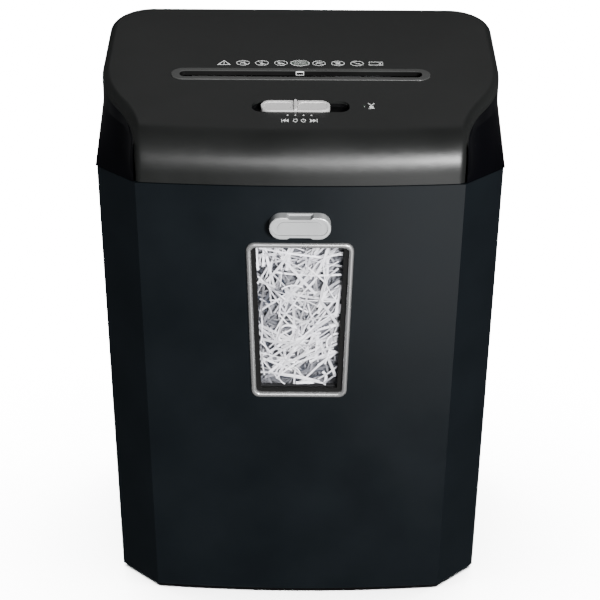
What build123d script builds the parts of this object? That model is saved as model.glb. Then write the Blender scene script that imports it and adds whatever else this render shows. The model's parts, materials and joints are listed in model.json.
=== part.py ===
from build123d import *

import os
from math import atan2, cos, pi, radians, sin, sqrt, tan

# Strip-cut paper shredder: a tapered floor cabinet with a pull-out bin and a fixed cutting head.
# Millimetres. +Z is up, -Y is the front, and X = 0 is the middle of the paper slot. The origin is on
# the floor under the centre of the whole machine, pull knob and cord grommet included.

# ---------------------------------------------------------------- driving dimensions
FOOT_Z = 4.0  # underside of the cabinet, on rubber feet
SEAM_Z = 460.0  # parting line between the bin or cabinet and the head
SEAM_GAP = 1.4
REACH = 145.0  # from the origin to the knob's front and to the grommet's back
PAPER_WIDTH = 230.0  # clear width of the feed slot, for sheets 210 wide
WALL = 2.6
CABINET_WALL = 2.8
PART_Y = -80.0  # the bin's front panel ends here, and the cabinet's sides begin
PART_GAP = 0.5
LEDGE_TOP_Z = 440.0  # the head's chassis stands on ledges at this height
REAR_HALF = 138.0  # half width of the separate rear panel
REAR_PANEL_Y = 110.0  # the rear panel lies behind this
FOOT_X, FOOT_YS = 148.0, (-78.0, 104.0)
FOOT_SCREW_HOLE = 2.2

# Plan outlines: half width, half width of the bowed front, front, bow, where the chamfer meets the
# side, back, and back corner radius.
HEAD_PLAN = dict(half=190.0, fore=150.0, front=135.0, bow=7.5, side_y=-91.0, back=137.0, corner=42.0)
SEAM_PLAN = dict(half=188.4, fore=150.0, front=135.0, bow=7.5, side_y=-91.0, back=136.0, corner=40.6)
TOP_PLAN = dict(half=187.2, fore=149.2, front=134.2, bow=7.5, side_y=-90.2, back=135.0, corner=39.6)
FOOT_PLAN = dict(half=182.8, fore=143.8, front=126.4, bow=7.5, side_y=-83.6, back=131.0, corner=36.0)

# Head cover: a plane that falls towards the front, then rolls over into the front face.
SLOPE = 8.0
SLOPE_RISE = tan(radians(SLOPE))
COVER_Z = 519.1  # height of the cover's plane at Y = 0
FRONT_ROLL = 37.0
EDGE_ROLL = 8.5
COVER_SKIRT = 10.0  # how far the cover's sides reach down
WAIST_Z = 490.0  # the side panels lean in up to here
WAIST_END_Y = 16.0  # the cover's waist has reached full width here
SCOOP_LEVELS = 5  # outlines that shape the side panels between the seam and the waist
PANEL_GAP = 0.3
REAR_COVER_Y = 92.0  # the side panels end and the rear cover begins
VENT_COUNT, VENT_START, VENT_PITCH, VENT_WIDTH = 14, -10.0, 9.0, 3.4
VENT_Z = (472.0, 506.0)
GROMMET_AT, GROMMET_RADIUS, CORD_RADIUS = (-118.0, 480.0), 8.0, 3.6  # the grommet's place in X and Z

# Head chassis: a tray with posts that carry the cover, open under the cutters
CHASSIS_INSET = 4.6
CHASSIS_WALL = 2.4
CHASSIS_FLOOR = 3.0
POSTS = ((-158.0, -60.0), (158.0, -60.0), (-168.0, 101.0), (168.0, 101.0), (-60.0, 127.2), (60.0, 127.2))
POST_RADIUS = 5.0
DISCHARGE_X, DISCHARGE_Y = 114.5, (-50.0, 36.0)

# Feed slot and cutting mechanism
SLOT_Y = -7.0
BEZEL_LENGTH, BEZEL_WIDTH, BEZEL_OPENING = 246.0, 22.5, 12.4
THROAT_HALF, THROAT_Z = 2.6, 499.5  # half width and height of the guides' lower end
FLAP_WIDTH, FLAP_PIVOT = 8.0, (3.4, 508.5)
CUTTER_Z = 478.0
CUTTER_SPACING = 36.0
CUTTER_RADIUS, CUTTER_TEETH, TOOTH_DEPTH = 19.5, 30, 0.7
SPACER_RADIUS = 13.0
DISC_COUNT = 19
DISC_PITCH = 12.0
DISC_WIDTH = 5.8
FRONT_OFFSET, REAR_OFFSET = 0.1, 6.1  # the rear shaft's discs run in the front shaft's gaps
SPACER_WIDTH = 6.2
HEX_ACROSS = 16.0
JOURNAL_RADIUS = 6.0
RUNNING_GAP = 0.04
PLATE_X = 118.0  # inner faces of the steel end plates
PLATE_THICK = 3.0
PLATE_TOP_Z = 503.0

# Gear train
PRESSURE_ANGLE = 25.0
BACKLASH = 0.24
SYNC_MODULE, SYNC_TEETH = 2.0, 18
FINAL_MODULE, FINAL_TEETH, PINION_TEETH = 2.0, 32, 12
FIRST_MODULE, WHEEL_TEETH, MOTOR_TEETH = 1.0, 66, 12
IDLER_ANGLE, MOTOR_ANGLE = 11.0, -15.0
GEAR_WIDTH, WHEEL_WIDTH = 9.0, 7.0
PLATE_FACE = PLATE_X + PLATE_THICK  # outer face of an end plate
SYNC_X = (-PLATE_FACE - 2.5 - GEAR_WIDTH, -PLATE_FACE - 2.5)
FINAL_X = (PLATE_FACE + 2.5, PLATE_FACE + 2.5 + GEAR_WIDTH)
WHEEL_X = (FINAL_X[1] + 2.0, FINAL_X[1] + 2.0 + WHEEL_WIDTH)
GEAR_PLATE_X = (WHEEL_X[1] + 4.0, WHEEL_X[1] + 6.0)
SPINDLE_RADIUS = 4.0

# Motor
MOTOR_RADIUS, MOTOR_X = 29.0, (12.0, 112.0)
MOTOR_SHAFT_RADIUS = 4.0
BELL_WALL = 2.5
FAN_BLADES = 7

# Mechanism's fasteners, as (Y, Z)
TIE_BARS = ((-48.0, 450.2), (-48.0, 497.0), (30.0, 498.0), (30.0, 450.2))
PILLARS = ((-31.0, 497.0), (-31.0, 451.0), (108.0, 451.0), (108.0, 494.0))

# Control board and the switch that the bin works
BOARD_X, BOARD_Y, BOARD_Z = (-178.0, -138.0), (0.0, 92.0), 450.0
INTERLOCK_AT = (-168.0, -74.0)
PLUNGER_RADIUS, PLUNGER_LOW = 2.2, 435.4

# Bin
BUCKET_GAP = 8.0  # from the outer skin to the bucket
BUCKET_WALL = 2.2
BUCKET_FLOOR_Z = 12.6
BUCKET_TOP_Z = 430.0
BUCKET_BACK = 118.0
SHREDS_TOP_Z = 396.0
SHREDS_SKIN = 3.4
BIN_SCREWS = ((-112.0, 416.0), (112.0, 416.0), (-104.0, 34.0), (104.0, 34.0))

# Window in the bin's front: a trapezium, narrower at the foot
WINDOW_TOP_Z, WINDOW_FOOT_Z = 402.0, 236.5
WINDOW_TOP_HALF, WINDOW_FOOT_HALF = 49.8, 45.5
WINDOW_CORNER = 8.0
FRAME_WIDTH = 4.7
FRAME_FRONT, FRAME_ROUND = 1.9, 2.1
GASKET_FRONT, LENS_FRONT, LENS_BACK = -1.6, -4.6, -6.8  # depths from the bin's front face

# Pull knob
KNOB_Z = 422.0
KNOB_LENGTH, KNOB_HEIGHT = 56.0, 21.8
KNOB_SCREWS = (-16.0, 16.0)

# Selector
SELECTOR_Y = -67.5
SELECTOR_X = -4.8
SELECTOR_LENGTH, SELECTOR_WIDTH = 63.4, 18.6
TRAY_LENGTH, TRAY_WIDTH, TRAY_DEPTH = 90.0, 20.4, 6.0
TRAVEL_MID = 3.65  # from the slider's rest place to the middle of its travel
LED_AT, LED_RADIUS = (58.5, -66.0), 1.8

# Where the shafts are, as (Y, Z)
FRONT_SHAFT = (SLOT_Y - CUTTER_SPACING / 2, CUTTER_Z)
REAR_SHAFT = (SLOT_Y + CUTTER_SPACING / 2, CUTTER_Z)


def from_point(point, distance, angle):
    """The (Y, Z) point at a distance and an angle above the +Y direction from another."""
    return (point[0] + distance * cos(radians(angle)), point[1] + distance * sin(radians(angle)))


IDLER = from_point(REAR_SHAFT, FINAL_MODULE * (FINAL_TEETH + PINION_TEETH) / 2, IDLER_ANGLE)
MOTOR = from_point(IDLER, FIRST_MODULE * (WHEEL_TEETH + MOTOR_TEETH) / 2, MOTOR_ANGLE)

parts = {}


def keep(name, *solids):
    """Files one or more solids under a node name."""
    parts[name] = solids[0] if len(solids) == 1 else Compound(children=list(solids))


def largest(shape):
    """The biggest solid of a shape that a cut has left in pieces."""
    return shape.solids().sort_by(SortBy.VOLUME)[-1]


# ---------------------------------------------------------------- shared shapes
ALL_X = ALL_Y = (-220.0, 220.0)  # extents past the whole machine, for cutting blocks
ALL_Z = (0.0, 600.0)


def box(x, y, z):
    """A box from its (low, high) extents along each axis."""
    size = [abs(b - a) for a, b in (x, y, z)]
    middle = [(a + b) / 2 for a, b in (x, y, z)]
    return Pos(*middle) * Box(*size)


def half_space(side):
    """Everything to the right (1) or the left (-1) of the middle."""
    return box(sorted((0.0, side * ALL_X[1])), ALL_Y, ALL_Z)


def rod(radius, start, end, axis="X", at=(0.0, 0.0)):
    """A round bar along an axis, from start to end, centred on the other two coordinates."""
    length = end - start
    middle = (start + end) / 2
    if axis == "X":
        return Pos(middle, at[0], at[1]) * Rot(0, 90, 0) * Cylinder(radius, length)
    if axis == "Y":
        return Pos(at[0], middle, at[1]) * Rot(90, 0, 0) * Cylinder(radius, length)
    return Pos(at[0], at[1], middle) * Cylinder(radius, length)


def prism_x(points, start, end):
    """A polygon of (Y, Z) points extruded along X."""
    face = make_face(Polyline([(0, y, z) for y, z in points], close=True))
    return Pos(start, 0, 0) * extrude(face, end - start, dir=(1, 0, 0))


def shrink(plan, inset):
    """A plan outline moved inwards by an even wall."""
    lean = inset * tan(radians(22.5))
    return dict(
        half=plan["half"] - inset,
        fore=plan["fore"] - lean,
        front=plan["front"] - inset,
        bow=plan["bow"],
        side_y=plan["side_y"] + lean,
        back=plan["back"] - inset,
        corner=plan["corner"] - inset,
    )


def outline_side(plan, fore_y, z, scoop, side):
    """One side of a plan outline, from the front corner to the back: side is 1 for right, -1 for left."""
    half, back, corner = side * plan["half"], plan["back"], plan["corner"]
    start = Vector(side * plan["fore"], fore_y, z)
    end = Vector(half, plan["side_y"] + scoop * (WAIST_END_Y - plan["side_y"]), z)
    middle = (start + end) / 2
    if scoop:
        lean = (end - start).normalized() * (1 - scoop) + Vector(0, scoop, 0)
        leaning = [Edge.make_tangent_arc(start, lean, middle), Edge.make_tangent_arc(end, -lean, middle)]
    else:
        leaning = [Edge.make_line(start, middle), Edge.make_line(middle, end)]
    straight = Edge.make_line(end, (half, back - corner, z))
    bend = Edge.make_tangent_arc((half, back - corner, z), (0, 1, 0), (half - side * corner, back, z))
    return [*leaning, straight, bend]


def outline(plan, z, scoop=0.0):
    """A closed plan outline at a height: bowed front, chamfers that turn into S curves as scoop grows
    from 0 to 1, and rounded back corners."""
    half, fore, back, corner = plan["half"], plan["fore"], plan["back"], plan["corner"]
    fore_y = plan["bow"] - plan["front"]
    right = outline_side(plan, fore_y, z, scoop, 1)
    left = outline_side(plan, fore_y, z, scoop, -1)
    front = Edge.make_three_point_arc((-fore, fore_y, z), (0, -plan["front"], z), (fore, fore_y, z))
    rear = Edge.make_line((half - corner, back, z), (corner - half, back, z))
    return Wire([front, *right, rear, *reversed(left)])


def blend_plans(low, high, share):
    """The plan outline a share of the way from one to another."""
    return {key: low[key] + share * (high[key] - low[key]) for key in low}


def plan_at(z):
    """The cabinet's plan at a height."""
    return blend_plans(FOOT_PLAN, TOP_PLAN, (z - FOOT_Z) / (SEAM_Z - SEAM_GAP - FOOT_Z))


def body_block(low_z, high_z, inset, back=None):
    """The cabinet's tapered shape between two heights, moved inwards by an inset."""
    low, high = shrink(plan_at(low_z), inset), shrink(plan_at(high_z), inset)
    if back is not None:
        low["back"] = high["back"] = back
    return Solid.make_loft([outline(low, low_z), outline(high, high_z)], ruled=True)


def cover_height(y):
    """Height of the cover's sloping plane."""
    return COVER_Z + y * SLOPE_RISE


def on_cover(x, y, lift=0.0):
    """A plane lying on the cover's slope, with its local X across the machine."""
    normal = Vector(0, -sin(radians(SLOPE)), cos(radians(SLOPE)))
    origin = Vector(x, y, cover_height(y)) + normal * lift
    return Plane(origin=origin, x_dir=(1, 0, 0), z_dir=normal)


def on_front(x, z, lift=0.0):
    """A plane on the bin's front face, facing out, with its local X to the left and Y up."""
    lean = atan2(TOP_PLAN["front"] - FOOT_PLAN["front"], SEAM_Z - SEAM_GAP - FOOT_Z)
    normal = Vector(0, -cos(lean), -sin(lean))
    origin = Vector(x, -plan_at(z)["front"], z) + normal * lift
    return Plane(origin=origin, x_dir=(1, 0, 0), z_dir=normal)


def screw(head_radius, shank_radius, length, head_height=2.0):
    """A pan-head cross-recess screw, with its head's underside at Z = 0 and its shank downwards."""
    head = Pos(0, 0, head_height / 2) * Cylinder(head_radius, head_height)
    head = fillet(head.edges().group_by(Axis.Z)[-1], head_height * 0.45)
    shank = Pos(0, 0, -length / 2) * Cylinder(shank_radius, length)
    slot = Pos(0, 0, head_height) * Box(head_radius, 0.7, head_height)
    return (head + shank) - slot - Rot(0, 0, 90) * slot


# ---------------------------------------------------------------- cabinet
def cabinet_shell():
    top = SEAM_Z - SEAM_GAP
    return body_block(FOOT_Z, top, 0) - body_block(FOOT_Z - 1, top + 1, CABINET_WALL)


def make_cabinet():
    shell = cabinet_shell() & box(ALL_X, (PART_Y, 200), ALL_Z)
    opening = box((-REAR_HALF, REAR_HALF), (REAR_PANEL_Y, 200), ALL_Z)
    ledges = body_block(LEDGE_TOP_Z - 4, LEDGE_TOP_Z, CABINET_WALL - 0.2)
    ledges -= body_block(LEDGE_TOP_Z - 5, LEDGE_TOP_Z + 1, CABINET_WALL + 4.2)
    ledges &= box(ALL_X, (PART_Y + 4, REAR_PANEL_Y - 6), ALL_Z)
    sides = shell - opening + ledges
    for name, side in (("left", -1), ("right", 1)):
        keep(f"cabinet_{name}_side", largest(sides & half_space(side)))

    rear = shell & box((0.2 - REAR_HALF, REAR_HALF - 0.2), (REAR_PANEL_Y, 200), ALL_Z)
    for row in range(5):
        rear -= box((-60, 60), (REAR_PANEL_Y, 200), (70 + 16 * row, 73 + 16 * row))
    keep("cabinet_rear_panel", rear.solids()[0])

    base = body_block(FOOT_Z, FOOT_Z + 2.4, CABINET_WALL + 1.4)
    rim = body_block(FOOT_Z + 2.4, FOOT_Z + 5, CABINET_WALL + 1.4)
    rim -= body_block(FOOT_Z + 1, FOOT_Z + 6, CABINET_WALL + 4.4)
    rim &= box(ALL_X, (PART_Y, 200), ALL_Z)
    for x in (-FOOT_X, FOOT_X):
        for y in FOOT_YS:
            base -= rod(FOOT_SCREW_HOLE, 0, 20, "Z", (x, y))
    keep("cabinet_base", base + rim)


def make_feet():
    feet, screws = [], []
    for x in (-FOOT_X, FOOT_X):
        for y in FOOT_YS:
            pad = Pos(x, y, FOOT_Z / 2) * Cone(9.0, 11.0, FOOT_Z)
            pad -= rod(FOOT_SCREW_HOLE, 0, FOOT_Z, "Z", (x, y)) + rod(4.4, -1, 2.4, "Z", (x, y))
            feet.append(pad)
            screws.append(Pos(x, y, 2.4) * Rot(180, 0, 0) * screw(4.0, 2.1, 6.0, 1.8))
    keep("rubber_feet", *feet)
    return screws


# ---------------------------------------------------------------- head shells
def cover_block(inset):
    """The cover's full block, with its rolled front and rounded edges, moved inwards by an inset."""
    plan = shrink(HEAD_PLAN, inset)
    low = SEAM_Z if inset <= 0 else SEAM_Z - 3
    top = COVER_Z - inset / cos(radians(SLOPE))
    far = ALL_Y[1]
    slope = [(-far, low - 1), (far, low - 1), (far, top + far * SLOPE_RISE), (-far, top - far * SLOPE_RISE)]
    block = extrude(make_face(outline(plan, low, 1.0)), 120) & prism_x(slope, *ALL_X)
    rolled = block.edges().group_by(Axis.Y)[0].sort_by(Axis.Z)[-1]
    block = fillet(rolled, FRONT_ROLL - inset)
    rim = [edge for edge in block.edges() if is_rim(edge, plan)]
    return fillet(rim, EDGE_ROLL - inset)


def is_rim(edge, plan):
    """True for the edges round the cover's top and down its two front corners."""
    middle = edge.center()
    across = middle.Y < -plan["front"] + FRONT_ROLL and abs(middle.X) < 1
    upright = abs((edge @ 1 - edge @ 0).X) < 1 and abs((edge @ 1 - edge @ 0).Y) < 1
    return middle.Z > SEAM_Z + 3 and not across and not (upright and middle.Y > -100)


def below_cover(depth):
    """Everything under a surface that follows the cover's slope and roll at a depth."""
    top, foot, far = COVER_Z - depth, SEAM_Z - 5, ALL_Y[1]
    front = depth - HEAD_PLAN["front"]
    slope = [(front, foot), (far, foot), (far, top + far * SLOPE_RISE), (front, top + front * SLOPE_RISE)]
    solid = prism_x(slope, *ALL_X)
    return fillet(solid.edges().filter_by(Axis.X).sort_by(Axis.Z)[-2], FRONT_ROLL - depth)


def stadium(length, width, radius):
    """A rectangle with rounded corners, or fully rounded ends where the radius is large."""
    return RectangleRounded(length, width, min(radius, width / 2 - 0.01))


def make_cover():
    cover = cover_block(0) - cover_block(WALL) - below_cover(COVER_SKIRT)
    for at in POSTS:
        cover += rod(POST_RADIUS - 0.6, post_top(at) + 0.2, cover_height(at[1]) - WALL + 0.3, "Z", at)
        cover -= rod(1.6, post_top(at), post_top(at) + 9, "Z", at)
    cut = stadium(BEZEL_LENGTH + 0.6, BEZEL_WIDTH + 0.6, BEZEL_WIDTH)
    cover -= extrude(on_cover(0, SLOT_Y, -12) * cut, 30)
    cover -= extrude(on_cover(0, SELECTOR_Y, -12) * stadium(TRAY_LENGTH, TRAY_WIDTH, 9.0), 30)
    cover -= extrude(on_cover(*LED_AT, -12) * Circle(LED_RADIUS + 0.1), 30)
    keep("head_top_cover", largest(cover))


def head_skin(inset):
    """The head's sides below the cover, which scoop in from the chamfers at the seam to the waist."""
    levels = []
    for step in range(SCOOP_LEVELS):
        scoop = step / (SCOOP_LEVELS - 1)
        plan = shrink(blend_plans(SEAM_PLAN, HEAD_PLAN, scoop), inset)
        levels.append(outline(plan, SEAM_Z + scoop * (WAIST_Z - SEAM_Z), scoop))
    upper = extrude(make_face(outline(shrink(HEAD_PLAN, inset), WAIST_Z, 1.0)), 80)
    return Solid.make_loft(levels, ruled=True) + upper


def make_side_panels():
    low, far = COVER_Z - COVER_SKIRT - PANEL_GAP, ALL_Y[1]
    profile = [(-far, low - far * SLOPE_RISE), (far, low + far * SLOPE_RISE), (far, 400), (-far, 400)]
    solid = (head_skin(0) - head_skin(WALL)) & prism_x(profile, *ALL_X) & below_cover(1.0)
    solid -= cover_block(-PANEL_GAP / 2) - below_cover(COVER_SKIRT + PANEL_GAP)
    solid -= box((-HEAD_PLAN["fore"] - 0.1, HEAD_PLAN["fore"] + 0.1), (-200, -100), ALL_Z)
    sides = solid & box(ALL_X, (-200, REAR_COVER_Y), ALL_Z)
    for name, side in (("left", -1), ("right", 1)):
        keep(f"head_{name}_side_panel", largest(sides & half_space(side)))

    rear = solid & box(ALL_X, (REAR_COVER_Y + PANEL_GAP, 200), ALL_Z)
    for column in range(VENT_COUNT):
        x = VENT_START + VENT_PITCH * column
        rear -= box((x - VENT_WIDTH / 2, x + VENT_WIDTH / 2), (120, 150), VENT_Z)
    rear -= rod(GROMMET_RADIUS + 0.1, 120, 150, "Y", GROMMET_AT)
    keep("head_rear_cover", largest(rear))


def make_grommet():
    back = HEAD_PLAN["back"]
    body = rod(GROMMET_RADIUS, back - 8, back, "Y", GROMMET_AT)
    collar_end = back + 2.5
    collar = rod(GROMMET_RADIUS + 3, back, collar_end, "Y", GROMMET_AT)
    place = Pos(GROMMET_AT[0], (collar_end + REACH) / 2, GROMMET_AT[1]) * Rot(-90, 0, 0)
    nose = place * Cone(GROMMET_RADIUS, GROMMET_RADIUS - 2, REACH - collar_end)
    keep("cord_grommet", body + collar + nose - rod(CORD_RADIUS, back - 9, REACH + 1, "Y", GROMMET_AT))


# ---------------------------------------------------------------- head chassis
def post_top(at):
    """Height of a hollow screw post, below a short boss under the cover."""
    return cover_height(at[1]) - 18


def make_chassis():
    low, high = LEDGE_TOP_Z, SEAM_Z - 2
    tray = body_block(low, high, CHASSIS_INSET)
    tray -= body_block(low + CHASSIS_FLOOR, high + 1, CHASSIS_INSET + CHASSIS_WALL)
    tray -= box((-DISCHARGE_X, DISCHARGE_X), DISCHARGE_Y, (low - 1, low + 10))
    for at in POSTS:
        tray += rod(POST_RADIUS, low + 1, post_top(at), "Z", at)
        tray -= rod(POST_RADIUS - 1.4, low - 1, post_top(at) - 2.5, "Z", at)
        tray -= rod(1.7, low, post_top(at) + 1, "Z", at)
    tray -= rod(PLUNGER_RADIUS + 0.3, low - 1, low + 10, "Z", INTERLOCK_AT)
    keep("head_chassis", tray)
    return [Pos(*at, post_top(at) - 2.5) * Rot(180, 0, 0) * screw(3.2, 1.5, 9.0) for at in POSTS]


# ---------------------------------------------------------------- feed slot
def make_slot():
    outer = stadium(BEZEL_LENGTH, BEZEL_WIDTH, BEZEL_WIDTH)
    mouth = stadium(PAPER_WIDTH, BEZEL_OPENING, 5.4)
    ring = extrude(on_cover(0, SLOT_Y, -WALL - 0.5) * outer, WALL + 1.4)
    ring = fillet(ring.edges().group_by(Axis.Z)[-1].filter_by(GeomType.LINE), 0.8)
    flange = extrude(on_cover(0, SLOT_Y, -WALL - 2) * stadium(BEZEL_LENGTH + 7, BEZEL_WIDTH + 7, 30), 1.9)
    ring = ring + flange - extrude(on_cover(0, SLOT_Y, -8) * mouth, 16)
    keep("slot_bezel", ring)

    top = cover_height(SLOT_Y) - 6.4
    half = BEZEL_OPENING / 2
    guides = []
    for side in (-1, 1):
        lean = side * 0.9  # the slope lifts the rear guide and lowers the front one
        upper_y, lower_y = SLOT_Y + side * half, SLOT_Y + side * THROAT_HALF
        profile = [(upper_y, top + lean), (lower_y, THROAT_Z), (lower_y + side * 1.8, THROAT_Z)]
        profile.append((upper_y + side * 2.2, top + lean))
        guide = prism_x(profile, -PAPER_WIDTH / 2, PAPER_WIDTH / 2)
        if side > 0:
            guide -= box((-FLAP_WIDTH / 2 - 0.6, FLAP_WIDTH / 2 + 0.6), (-20, 20), (THROAT_Z - 1, top + 5))
        guides.append(guide)
    keep("front_throat_guide", guides[0])
    keep("rear_throat_guide", *guides[1].solids())


def make_sensor():
    y, z = FLAP_PIVOT
    hub = rod(2.4, -FLAP_WIDTH / 2, FLAP_WIDTH / 2, "X", FLAP_PIVOT)
    blade = [(y - 1.6, z + 1.8), (y - 4.6, z + 0.6), (SLOT_Y + 0.4, THROAT_Z + 3)]
    blade += [(SLOT_Y + 0.6, THROAT_Z + 1.4), (y - 2.0, z - 4.0), (y + 1.0, z - 2.0)]
    lever = hub + prism_x(blade, -FLAP_WIDTH / 2, FLAP_WIDTH / 2)
    keep("sensor_flap", lever - rod(1.25 + RUNNING_GAP, -20, 20, "X", FLAP_PIVOT))
    brackets = [box((s * 6 - 1, s * 6 + 1), (y - 1.9, y + 8), (z - 2.6, z + 3.4)) for s in (-1, 1)]
    rear = box((-7, 7), (y + 6, y + 8), (z - 2.6, z + 3.4))
    keep("sensor_bracket", brackets[0] + brackets[1] + rear + rod(1.25, -7, 7, "X", FLAP_PIVOT))


# ---------------------------------------------------------------- selector and indicator
def make_selector():
    flange = on_cover(0, SELECTOR_Y, -WALL - 1.6) * stadium(TRAY_LENGTH + 8, TRAY_WIDTH + 8, 12)
    flange = extrude(flange, 1.5)
    cup = on_cover(0, SELECTOR_Y, -TRAY_DEPTH - 1.6) * stadium(TRAY_LENGTH + 3, TRAY_WIDTH + 3, 10)
    cup = extrude(cup, TRAY_DEPTH - WALL)
    hollow = extrude(on_cover(0, SELECTOR_Y, -TRAY_DEPTH) * stadium(TRAY_LENGTH, TRAY_WIDTH, 9.0), 20)
    stem_slot = extrude(on_cover(SELECTOR_X + TRAVEL_MID, SELECTOR_Y, -12) * Rectangle(30, 4.6), 20)
    keep("selector_tray", flange + cup - hollow - stem_slot)

    body = on_cover(SELECTOR_X, SELECTOR_Y, 0.6 - TRAY_DEPTH) * stadium(SELECTOR_LENGTH, SELECTOR_WIDTH, 20)
    body = extrude(body, TRAY_DEPTH + 0.5)
    for side in (-1, 1):
        dish = on_cover(SELECTOR_X + side * 16.0, SELECTOR_Y, 0.7) * RectangleRounded(26.0, 13.0, 5.0)
        body -= extrude(dish, 2)
    ridge = on_cover(SELECTOR_X, SELECTOR_Y) * RectangleRounded(2.4, SELECTOR_WIDTH - 0.8, 1.0)
    ridge = extrude(ridge, 2.4)
    for side in (-1, 1):
        body -= extrude(on_cover(SELECTOR_X + side * 2.0, SELECTOR_Y, 0.2) * Rectangle(0.9, 30), 4)
    stem = extrude(on_cover(SELECTOR_X, SELECTOR_Y, -TRAY_DEPTH - 7) * Rectangle(4.0, 3.6), 8.0)
    keep("selector_knob", body + ridge + stem)

    middle_x = SELECTOR_X + TRAVEL_MID
    block = extrude(on_cover(middle_x, SELECTOR_Y, -TRAY_DEPTH - 17) * Rectangle(44, 16), 13)
    well = extrude(on_cover(middle_x, SELECTOR_Y, -TRAY_DEPTH - 8) * Rectangle(30, 5), 8)
    keep("selector_switch_body", block - well)
    lens = extrude(on_cover(*LED_AT, -7) * Circle(LED_RADIUS), 7.4)
    keep("status_led", fillet(lens.edges().group_by(Axis.Z)[-1], 0.5))


# ---------------------------------------------------------------- cutting mechanism
def regular(radius, count, phase=0.0):
    """Corners of a regular polygon as (Y, Z) offsets."""
    turns = [radians(phase) + 2 * pi * i / count for i in range(count)]
    return [(radius * cos(t), radius * sin(t)) for t in turns]


def moved(points, at):
    return [(y + at[0], z + at[1]) for y, z in points]


def hex_hole(at, start, end, spare=0.05):
    return prism_x(moved(regular(HEX_ACROSS / 2 / cos(pi / 6) + spare, 6), at), start, end)


def toothed_rim(radius, teeth, depth):
    """A saw-edged rim as (Y, Z) offsets: two corners to each tooth."""
    rim = []
    for i in range(teeth):
        turn = 2 * pi * i / teeth
        rim.append((radius * cos(turn), radius * sin(turn)))
        back = turn + 1.5 * pi / teeth
        rim.append(((radius - depth) * cos(back), (radius - depth) * sin(back)))
    return rim


def involute_gear(module, teeth, phase):
    """Involute tooth outline as (Y, Z) offsets, with a tooth centred at the phase angle in degrees."""
    alpha = radians(PRESSURE_ANGLE)
    pitch = module * teeth / 2
    base, tip, root = pitch * cos(alpha), pitch + 0.9 * module, pitch - 1.2 * module

    def involute(radius):
        turn = sqrt(max((radius / base) ** 2 - 1, 0))
        return turn - atan2(turn, 1)

    half_pitch_tooth = (pi * module / 2 - BACKLASH / 2) / 2 / pitch
    steps = 5
    low = max(base, root + 0.15 * module)
    flank = []
    for i in range(steps):
        radius = low + (tip - low) * i / (steps - 1)
        flank.append((radius, half_pitch_tooth + involute(pitch) - involute(radius)))
    rim = []
    for n in range(teeth):
        middle = radians(phase) + 2 * pi * n / teeth
        foot = flank[0][1]
        rim.append((root, middle - foot))
        rim += [(r, middle - half) for r, half in flank]
        rim += [(r, middle + half) for r, half in reversed(flank)]
        rim.append((root, middle + foot))
    return [(r * cos(t), r * sin(t)) for r, t in rim]


def gear(module, teeth, phase, at, start, end):
    return prism_x(moved(involute_gear(module, teeth, phase), at), start, end)


def mesh_phase(teeth, angle):
    """The phase that puts a gap of this gear, seen from its centre, at an angle."""
    return angle + 180.0 / teeth


def disc_start(index, offset):
    """Left face of a disc on the shaft whose row starts at an offset."""
    return -DISC_PITCH * DISC_COUNT / 2 + offset + index * DISC_PITCH


def make_cutters():
    hex_end, left = PLATE_X - 0.4, SYNC_X[0] - 1
    ends = {"front": FINAL_X[0] - 2.4, "rear": GEAR_PLATE_X[0] + 1}
    for name, at, offset in (("front", FRONT_SHAFT, FRONT_OFFSET), ("rear", REAR_SHAFT, REAR_OFFSET)):
        bar = prism_x(moved(regular(HEX_ACROSS / 2 / cos(pi / 6), 6), at), -hex_end, hex_end)
        bar += rod(JOURNAL_RADIUS, left, -hex_end, "X", at)
        bar += rod(JOURNAL_RADIUS, hex_end, ends[name], "X", at)
        keep(f"{name}_cutter_shaft", bar)
        rim = moved(toothed_rim(CUTTER_RADIUS, CUTTER_TEETH, TOOTH_DEPTH), at)
        hub = moved(regular(SPACER_RADIUS, 24, 7.5), at)
        discs, spacers = [], []
        for i in range(DISC_COUNT):
            x = disc_start(i, offset)
            if x + DISC_WIDTH > PLATE_X - 0.6:
                continue
            discs.append(prism_x(rim, x, x + DISC_WIDTH) - hex_hole(at, x - 1, x + DISC_WIDTH + 1))
            start, end = x + DISC_WIDTH, x + DISC_PITCH
            if end < PLATE_X - 0.6:
                spacers.append(prism_x(hub, start, end) - hex_hole(at, start - 1, end + 1))
        keep(f"{name}_cutter_discs", *discs)
        keep(f"{name}_spacers", *spacers)


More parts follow.
